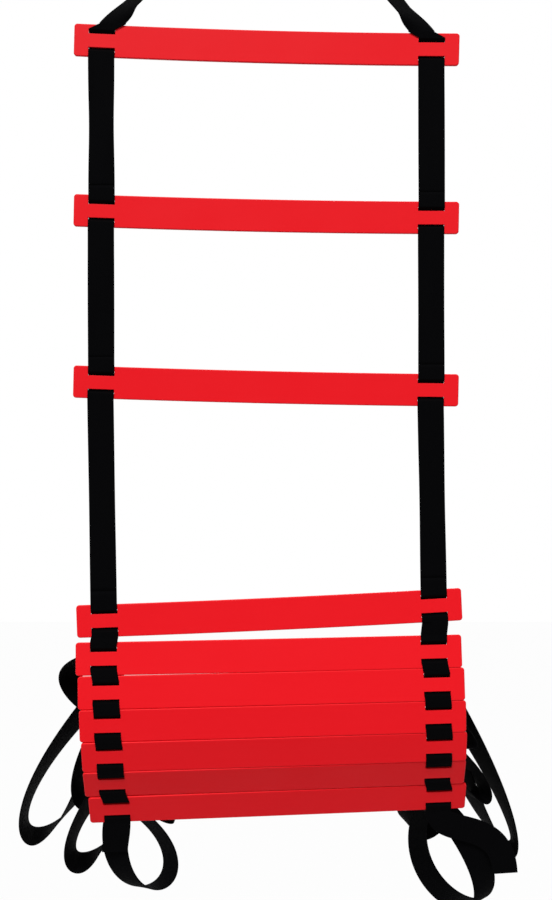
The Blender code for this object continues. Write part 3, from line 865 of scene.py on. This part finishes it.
class LADDER_OT_thread_rails(LadderPiece, bpy.types.Operator):
    """Threads both rails through the spread rungs and hangs the bays between them"""

    bl_idname = "ladder.thread_rails"
    bl_label = "Thread rails"

    def execute(self, context):
        return self.on_both_rails(context, RUNGS[:FIRST_STACKED], self.bay)

    def bay(self, s, rail, rung, name, black):
        """Half a rung's pass, the bay below it and half the next rung's pass, cut low in the bay."""
        here, there = rail[rung], rail[rung + 1]
        top, foot = here.fold_point(-1), there.fold_point(1)
        down = unit(foot - top)
        middle = top + np.linspace(0, 1, BAY_STEPS + 1)[1:-1, None] * (foot - top)
        tangents = np.tile(down, (len(middle), 1))
        twist = math.radians(BAY_TWISTS[name][rung])
        across = carried(tangents, here.across, there.across, twist=twist)
        hanging = lofted(middle, tangents, across)
        first = tuple(part[:BAY_CUT] for part in hanging)
        last = tuple(part[BAY_CUT - 1 :] for part in hanging)
        margin = here.over_margin(-here.lip, -here.edge, LOWER_MARGIN_STEPS)
        gap = here.over_margin(-here.edge, -here.fold, FOLD_STEPS)
        upper = joined(here.threaded(-1), tail(margin), tail(gap), first)
        piece = woven(s, f"rail_{name}_bay_{here.number:02d}_upper", upper, black)
        start, end = top - down * (here.fold - here.edge), top + down * BEND_REACH
        hinged(piece, f"slat_{here.number}", f"bay_{here.number}", start, end)
        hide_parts(f"web_{name}_{here.number:02d}", f"bay_{name}_{here.number:02d}")
        gap = there.over_margin(there.fold, there.edge, FOLD_STEPS)
        margin = there.over_margin(there.edge, there.lip, UPPER_MARGIN_STEPS)
        lower = joined(last, gap, tail(margin), there.threaded(1))
        if there.rung < FIRST_STACKED:
            piece = woven(s, f"rail_{name}_bay_{here.number:02d}_lower", lower, black)
            start, end = foot - down * BEND_REACH, foot + down * (there.fold - there.edge)
            hinged(piece, f"bay_{here.number}", f"slat_{there.number}", start, end)
        else:
            piece = woven(s, f"rail_{name}_slide_{there.number:02d}", lower, black)
            there.drawn_through(piece, f"bay_{here.number}")


class LADDER_OT_hang_head(LadderPiece, bpy.types.Operator):
    """Leads both rails from the top rung up into the tab"""

    bl_idname = "ladder.hang_head"
    bl_label = "Hang head"

    def execute(self, context):
        return self.on_both_rails(context, RUNGS[:1], self.strap)

    def strap(self, s, rail, rung, name, black):
        """From the tab straight down to the top rung, turning towards it, and to its bridge."""
        here, side = rail[rung], SIDES[name]
        up, across = here.turn[:, 2], here.across
        shift = -side * HEAD_SHIFT * across
        fold = here.fold_point(1) + shift
        first = fold + up * HEAD_RISE
        apex = np.array([0, side * (s.web_thickness + s.web_gap) / 2, -HANG_TO_APEX])
        lean = unit(apex - first)
        share = np.linspace(0, 1, HEAD_STEPS + 1)[:, None]
        points = first + share * (apex - lean * HEAD_FLAT - first)
        flat = unit(np.cross([0, 1, 0], lean))
        twist = side * np.radians(HEAD_TWIST) * np.cos(np.pi / 2 * share) ** 2
        turned = flat * np.cos(twist) + np.cross(lean, flat) * np.sin(twist)
        mixed = np.minimum(1, share / HEAD_TURN_SHARE)
        width = unit(across * (1 - mixed) + turned * mixed)
        points = np.vstack([fold, points, apex])
        width = np.vstack([across, width, width[-1]])
        hanging = tuple(part[::-1] for part in (points, width, unit(np.cross(width, lean))))
        middle, *rest = here.over_margin(here.fold, here.lip, HEAD_MARGIN_STEPS)
        middle = middle + shift * np.linspace(1, 0, len(middle))[:, None]
        line = joined(hanging, tail((middle, *rest)), tail(here.threaded(1)))
        piece = woven(s, f"rail_{name}_head", line, black)
        end = fold - up * (here.fold - here.edge)
        hinged(piece, "head", "slat_1", fold + up * BEND_REACH, end)
        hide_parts(f"head_{name}_strap")


class LADDER_OT_fold_stack(LadderPiece, bpy.types.Operator):
    """Carries both rails over the joins between the gathered rungs"""

    bl_idname = "ladder.fold_stack"
    bl_label = "Fold stack"

    def execute(self, context):
        return self.on_both_rails(context, RUNGS[FIRST_STACKED:-1], self.join)

    def join(self, s, rail, rung, name, black):
        """From one rung's bridge to the next one's, cut on the next one's upper margin."""
        here, there = rail[rung], rail[rung + 1]
        meet = (here.fold_point(-1) + there.fold_point(1)) / 2
        width = unit(here.across + there.across)
        upper = here.over_margin(-here.lip, -here.fold, JOIN_STEPS)
        upper = drawn_to(upper, meet, width, 0.0, 1.0)
        lower = there.over_margin(there.fold, there.lip, JOIN_STEPS)
        lower = drawn_to(lower, meet, width, 1.0, 0.0)
        over = tuple(part[: JOIN_CUT + 1] for part in lower)
        rest = tuple(part[JOIN_CUT:] for part in lower)
        line = joined(here.threaded(-1), tail(upper), tail(over))
        piece = woven(s, f"rail_{name}_fold_{here.number:02d}", line, black)
        above = meet + unit(upper[0][-2] - upper[0][-1]) * (here.fold - here.edge)
        below = meet + unit(lower[0][1] - lower[0][0]) * (there.fold - there.edge)
        hinged(piece, f"slat_{here.number}", f"link_{here.number}", above, below)
        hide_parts(f"link_{name}_{here.number:02d}")
        line = joined(rest, there.threaded(1))
        piece = woven(s, f"rail_{name}_slide_{there.number:02d}", line, black)
        there.drawn_through(piece, f"link_{here.number}")


class LADDER_OT_hang_loops(LadderPiece, bpy.types.Operator):
    """Hangs the slack behind the gathered rungs and the rails' cut ends below the last one"""

    bl_idname = "ladder.hang_loops"
    bl_label = "Hang loops"

    def execute(self, context):
        return self.on_both_rails(context, RUNGS[FIRST_STACKED:], self.slack)

    def slack(self, s, rail, rung, name, black):
        """A rung's loop, and the rail's cut end after the last one."""
        self.loop(s, rail[rung], name, black)
        if rung == RUNGS[-1]:
            self.cut_end(s, rail[rung], name, black)

    def loop(self, s, here, name, black):
        """A smooth curve out of the upper slot, down behind the stack and back to the lower slot."""
        back_face, radius, slope = s.rung_thickness / 2, bend_radius(s), pass_slope(s)
        leaves, returns = (
            here.turn @ np.array([0, math.cos(angle), math.sin(angle)])
            for angle in (math.radians(-slope), math.radians(90 + RETURN_DEGREES))
        )
        leaving, _ = arc((back_face, s.bridge_height / 2), radius, 90 - slope, 0)
        entering, facing = arc((back_face, -here.lip), radius, RETURN_DEGREES, 90)
        first, last = here.point(*leaving[0]), here.point(*entering[0])
        low = hung_from(here.point(0, 0), SLACK_SHARES[name][here.rung - FIRST_STACKED])
        second, second_last = first + leaves * SLACK_LEAD, last - returns * SLACK_LEAD
        points, tangents = smooth_curve([first, second, *low, second_last, last], LOOP_STEPS)
        half = LOOP_STEPS // 2
        bend_axis = np.cross(tangents[half - LOOP_BEND_STEPS], tangents[half + LOOP_BEND_STEPS])
        width = carried(tangents, here.across, here.across, middle=bend_axis)
        line = joined(lofted(points, tangents, width), tail(here.stretch(entering, facing)))
        piece = woven(s, f"rail_{name}_loop_{here.number:02d}", line, black)
        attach(piece, f"slat_{here.number}")
        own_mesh(piece)
        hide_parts(f"web_{name}_{here.number:02d}")

    def cut_end(self, s, here, name, black):
        """The last rung's lower pass and the rail's cut end, which hangs from its margin."""
        margin = here.over_margin(-here.lip, -here.edge, LAST_MARGIN_STEPS)
        start = margin[0][-1]
        points, tangents = smooth_curve([start, *hung_from(start, TAIL_SHARES[name])], TAIL_STEPS)
        end = lofted(points, tangents, carried(tangents, here.across, here.across))
        line = joined(here.threaded(-1), tail(margin), tail(end))
        piece = woven(s, f"rail_{name}_cut_end", line, black, cut_end=True)
        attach(piece, f"slat_{here.number}")


class LADDER_OT_sew_tab(LadderPiece, bpy.types.Operator):
    """Folds the tab over the ring and sews both rails into it"""

    bl_idname = "ladder.sew_tab"
    bl_label = "Sew tab"

    def execute(self, context):
        s, colours, _ = self.ready(context)
        black = self.webbing(s, colours)
        bar = -(s.ring_height + s.ring_wire / 2)
        radius = s.ring_wire / 2 + s.web_gap + bend_radius(s)
        # Its legs lie outside both straps, one and a half layers from the middle
        leg = 1.5 * (s.web_thickness + s.web_gap)
        angles = np.linspace(0, np.pi, 4 * BEND_STEPS + 1)
        around = radius * np.column_stack([np.cos(angles), np.sin(angles)]) + (0, bar)
        over = np.column_stack([np.zeros(len(angles)), around])
        down = np.linspace(0, 1, TAB_STEPS + 1)[:, None]
        back = np.array([0, leg, bar - TAB_LENGTH]) + down * (0, 0, TAB_LENGTH - TAB_THROAT)
        front = (back * (1, -1, 1))[::-1]
        points = np.vstack([back, over, front])
        tangents = unit(np.gradient(points, axis=0))
        across = np.tile((1.0, 0.0, 0.0), (len(points), 1))
        piece = woven(s, "folded_tab", lofted(points, tangents, across), black)
        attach(piece, "head")
        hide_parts("ring_tab")
        thread = bonded_thread(tuple(colours.thread))
        outer = leg + s.web_thickness / 2
        rows = bar - TAB_THROAT - (TAB_LENGTH - TAB_THROAT) * SEAM_ROWS
        piece = placed("bar_tacks", self.stitches(s, outer, rows), thread)
        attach(piece, "head")
        return {"FINISHED"}

    def stitches(self, s, outer, rows):
        """Rows of zigzag stitches on both faces, each a short tube that dips in at its ends."""
        count = int(SEAM_SHARE * s.web_width / (STITCH_PITCH_SHARE * s.stitch_length))
        x = np.linspace(-SEAM_SHARE / 2, SEAM_SHARE / 2, count + 1) * s.web_width
        lean = STITCH_LEAN_SHARE * s.stitch_length
        zigzag = np.where(np.arange(count + 1) % 2 == 0, lean, -lean)
        corners = np.column_stack([x, zigzag])
        step = np.diff(corners, axis=0)
        t = np.linspace(0, 1, STITCH_STEPS + 1)
        around = np.linspace(0, 2 * np.pi, THREAD_SIDES, endpoint=False)
        line = corners[:-1, None] + step[:, None] * t[:, None]
        lift = np.sin(np.pi * t) * s.thread_radius
        side = unit(np.column_stack([-step[:, 1], step[:, 0]]))
        wide, high = s.thread_radius * np.cos(around), s.thread_radius * np.sin(around)
        tubes = []
        for face in (-1, 1):
            for row in rows:
                tube_x = line[..., 0, None] + side[:, None, None, 0] * wide
                tube_z = line[..., 1, None] + side[:, None, None, 1] * wide + row
                tube_y = face * (outer + lift[None, :, None] + high + np.zeros_like(tube_x))
                tubes.append(np.stack([tube_x, tube_y, tube_z], -1).reshape(count, -1, 3))
        tubes = np.concatenate(tubes)
        size = tubes.shape[1]
        one = quads_between(len(t), len(around)).tolist() + end_caps(len(t), len(around))
        faces = [[i + tube * size for i in face] for tube in range(len(tubes)) for face in one]
        return mesh_of("bar_tacks", tubes.reshape(-1, 3), faces, [True] * len(faces))


class LADDER_OT_bend_ring(LadderPiece, bpy.types.Operator):
    """Bends the ring that the ladder hangs on"""

    bl_idname = "ladder.bend_ring"
    bl_label = "Bend ring"

    def execute(self, context):
        s, colours, _ = self.ready(context)
        steel = nickel_plated_steel(tuple(colours.steel))
        wire, corner = s.ring_wire / 2, s.ring_corner
        half = s.web_width / 2 + s.ring_clearance + wire
        bar = -(s.ring_height + wire)
        middle = bar + corner
        rise = wire - middle
        turn = np.linspace(-np.pi / 2, 0, RING_CORNER_STEPS + 1)[:-1]
        right = corner * np.column_stack([np.cos(turn), np.sin(turn)]) + (half - corner, middle)
        over = np.linspace(0, np.pi, RING_ARCH_STEPS + 1)
        arch = np.column_stack([half * np.cos(over), middle + rise * np.sin(over)])
        left = (right * (-1, 1))[::-1]
        level = np.linspace(left[-1, 0], right[0, 0], RING_BASE_STEPS + 1)[1:-1]
        base = np.column_stack([level, np.full(len(level), bar)])
        outline = np.vstack([right, arch, left, base])
        middle_line = np.column_stack([outline[:, 0], np.zeros(len(outline)), outline[:, 1]])
        ahead = unit(np.roll(middle_line, -1, 0) - np.roll(middle_line, 1, 0))
        out, back = np.cross(ahead, [0, 1, 0]), np.array([0, 1, 0])
        around = np.linspace(0, 2 * np.pi, WIRE_SIDES, endpoint=False)[:, None]
        rings = middle_line[:, None] + wire * (out[:, None] * np.cos(around) + back * np.sin(around))
        piece = placed("welded_ring", skin("welded_ring", rings, looped=True), steel)
        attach(piece, "ring")
        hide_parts("d_ring")
        return {"FINISHED"}


class LADDER_OT_set_stage(LadderPiece, bpy.types.Operator):
    """Lays the floor and sets the lights, the surroundings and the camera"""

    bl_idname = "ladder.set_stage"
    bl_label = "Set stage"

    def execute(self, context):
        scene, colours = context.scene, context.scene.ladder_colours
        half, z = FLOOR_HALF, CAD_BOX[0][2] - FLOOR_DROP
        corners = [(-half, -half, z), (half, -half, z), (half, half, z), (-half, half, z)]
        mesh = bpy.data.meshes.new("paper_floor")
        mesh.from_pydata(corners, [], [(0, 1, 2, 3)])
        placed("paper_floor", mesh, studio_paper(tuple(colours.stage)))
        self.surroundings(scene)
        self.daylight(scene)
        for name, (place, target, size, power) in SOFTBOXES.items():
            self.softbox(scene, name, place, target, size, power)
        self.camera(scene)
        scene.view_settings.view_transform = "Standard"
        return {"FINISHED"}

    def surroundings(self, scene):
        """A room that is seen as plain white. What it lights, it lights evenly and much less."""
        world = bpy.data.worlds.new("white_room")
        world.use_nodes = True
        tree = world.node_tree
        tree.nodes.clear()
        share = seen_directly(tree)
        lit = add_node(tree, "ShaderNodeBackground", Color=(1, 1, 1, 1), Strength=ROOM_LIGHT)
        seen = add_node(tree, "ShaderNodeBackground", Color=(1, 1, 1, 1), Strength=1.0)
        mixed = add_node(tree, "ShaderNodeMixShader", i0=share, i1=lit, i2=seen)
        add_node(tree, "ShaderNodeOutputWorld", Surface=mixed)
        scene.world = world

    def daylight(self, scene):
        """Even light from a high window behind the camera, on its left."""
        turn = (math.radians(90 - SUN_HEIGHT), 0.0, math.radians(SUN_BEARING))
        light = self.lamp(scene, "window_daylight", "SUN", SUN_STRENGTH, SUN_PLACE, turn)
        light.angle = math.radians(SUN_SPREAD)

    def softbox(self, scene, name, place, target, size, power):
        """A square softbox that faces the target."""
        x, y, z = np.array(target) - np.array(place)
        turn = (math.atan2(math.hypot(x, y), -z), 0.0, math.atan2(-x, y))
        self.lamp(scene, name, "AREA", power, place, turn).size = size

    def lamp(self, scene, name, kind, power, place, turn):
        """Adds a lamp to the stage. Before its turn it shines straight down."""
        light = bpy.data.lights.new(name, kind)
        light.energy = power
        lamp = bpy.data.objects.new(name, light)
        scene.collection.objects.link(lamp)
        lamp.location = place
        lamp.rotation_euler = turn
        return light

    def camera(self, scene):
        """Level with the second bay and straight in front, as the photograph was taken."""
        data = bpy.data.cameras.new("front_camera")
        data.sensor_width = CAMERA_SENSOR
        data.lens = CAMERA_LENS
        camera = bpy.data.objects.new("front_camera", data)
        scene.collection.objects.link(camera)
        camera.location = CAMERA_PLACE
        camera.rotation_euler = (math.pi / 2, 0.0, 0.0)
        scene.camera = camera


class LADDER_PT_panel(bpy.types.Panel):
    """Lists the ladder's pieces in the order in which they are built"""

    bl_idname = "LADDER_PT_panel"
    bl_label = "Agility ladder"
    bl_space_type = "VIEW_3D"
    bl_region_type = "UI"
    bl_category = "Ladder"

    def draw(self, context):
        for step in STEPS:
            self.layout.operator(step.bl_idname)
        for group in (context.scene.ladder_sizes, context.scene.ladder_colours):
            box = self.layout.box()
            for name in group.__annotations__:
                box.prop(group, name)


STEPS = (
    LADDER_OT_mould_rungs,
    LADDER_OT_hang_head,
    LADDER_OT_thread_rails,
    LADDER_OT_fold_stack,
    LADDER_OT_hang_loops,
    LADDER_OT_sew_tab,
    LADDER_OT_bend_ring,
    LADDER_OT_set_stage,
)
CLASSES = (LadderSizes, LadderColours, *STEPS, LADDER_PT_panel)


def register():
    for cls in CLASSES:
        bpy.utils.register_class(cls)
    bpy.types.Scene.ladder_sizes = bpy.props.PointerProperty(type=LadderSizes)
    bpy.types.Scene.ladder_colours = bpy.props.PointerProperty(type=LadderColours)


def unregister():
    del bpy.types.Scene.ladder_colours
    del bpy.types.Scene.ladder_sizes
    for cls in reversed(CLASSES):
        bpy.utils.unregister_class(cls)


def main():
    register()
    bpy.ops.ladder.mould_rungs()
    bpy.ops.ladder.hang_head()
    bpy.ops.ladder.thread_rails()
    bpy.ops.ladder.fold_stack()
    bpy.ops.ladder.hang_loops()
    bpy.ops.ladder.sew_tab()
    bpy.ops.ladder.bend_ring()
    bpy.ops.ladder.set_stage()


if __name__ == "__main__":
    main()
